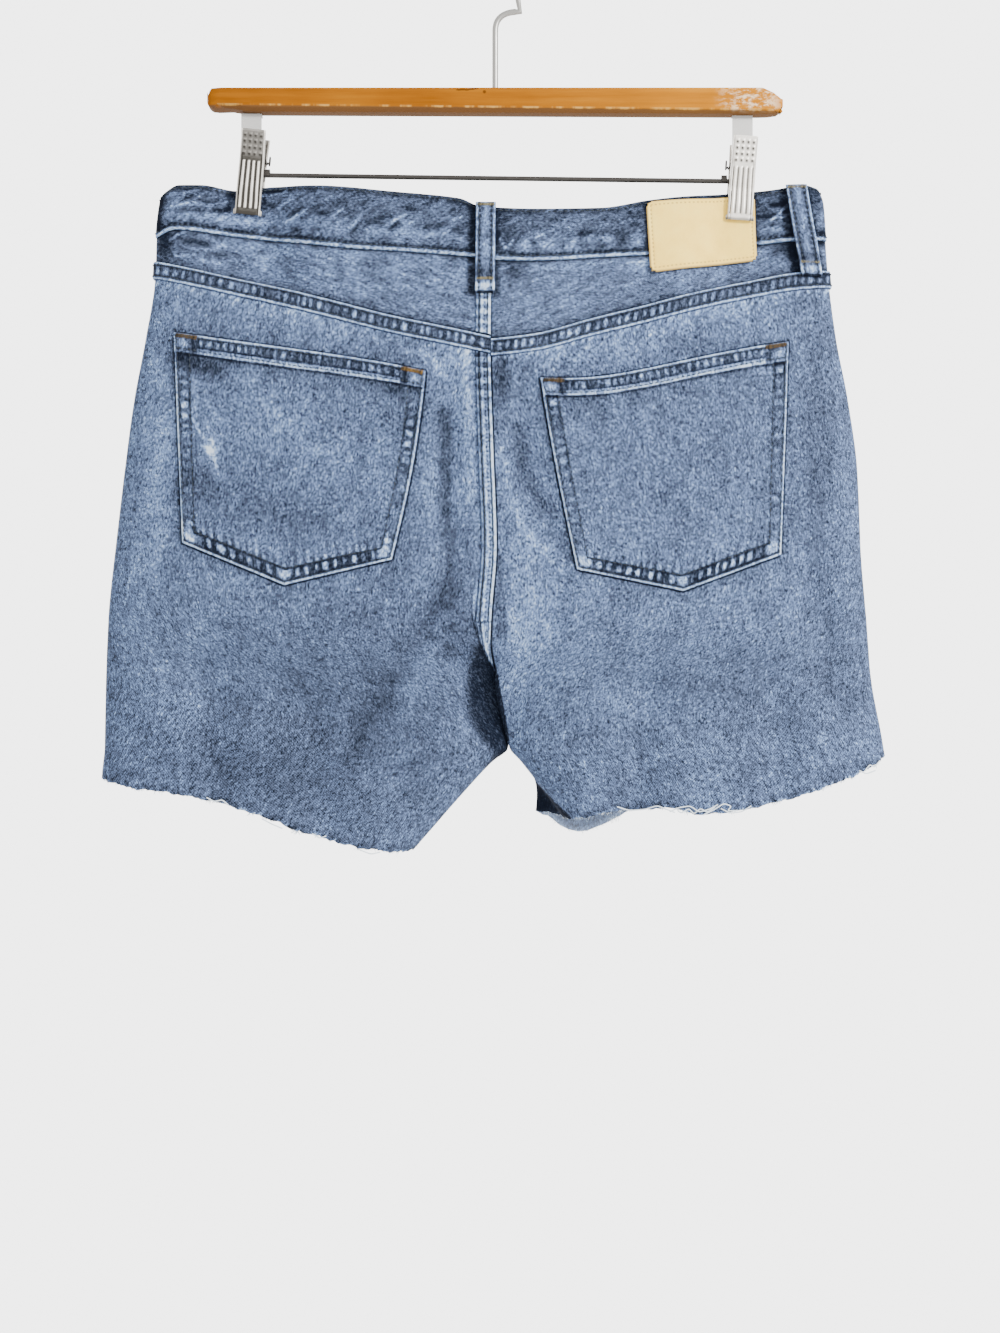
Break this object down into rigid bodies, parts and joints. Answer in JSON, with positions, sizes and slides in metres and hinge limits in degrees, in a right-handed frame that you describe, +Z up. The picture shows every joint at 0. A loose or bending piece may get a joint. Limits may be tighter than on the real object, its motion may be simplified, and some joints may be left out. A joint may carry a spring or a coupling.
{
  "type": "denim shorts on a wooden clip hanger",
  "caption": "Cut-off denim shorts hanging by the waistband from a wooden bar hanger with a wire hook and sprung metal clips.",
  "frame": {"origin": "where the hanger's hook rests on a rail", "axes": "+Z up; the back of the shorts faces -Y, so +X is to the right seen from the back"},
  "size_m": [0.4844, 0.0567, 0.5658],
  "materials": {
    "washed denim": "matt twill",
    "denim folds": "matt twill",
    "pale leather": "dull",
    "varnished wood": "satin varnish",
    "nickel steel": "satin nickel",
    "dull brass": "aged"
  },
  "bodies": {
    "root": {"back_left": "washed denim", "back_pocket_left": "washed denim", "back_pocket_right": "washed denim", "back_right": "washed denim", "belt_loop_back": "denim folds", "belt_loop_back_right": "denim folds", "belt_loop_front_left": "denim folds", "belt_loop_front_right": "denim folds", "belt_loop_side_left": "denim folds", "button": "dull brass", "clip_left_back_jaw": "nickel steel", "clip_left_front_jaw": "nickel steel", "clip_left_spring": "nickel steel", "clip_right_back_jaw": "nickel steel", "clip_right_front_jaw": "nickel steel", "clip_right_spring": "nickel steel", "clip_rod": "nickel steel", "fly_facing": "denim folds", "front_left": "washed denim", "front_right": "washed denim", "hanger_bar": "varnished wood", "hanger_hook": "nickel steel", "hanger_strap_left": "nickel steel", "hanger_strap_right": "nickel steel", "leather_patch": "pale leather", "pocket_facing_left": "denim folds", "pocket_facing_right": "denim folds", "seat_fell": "denim folds", "waistband": "washed denim", "yoke_centre_fell": "denim folds", "yoke_fell_left": "denim folds", "yoke_fell_right": "denim folds", "yoke_left": "washed denim", "yoke_right": "washed denim"}
  },
  "joints": []
}
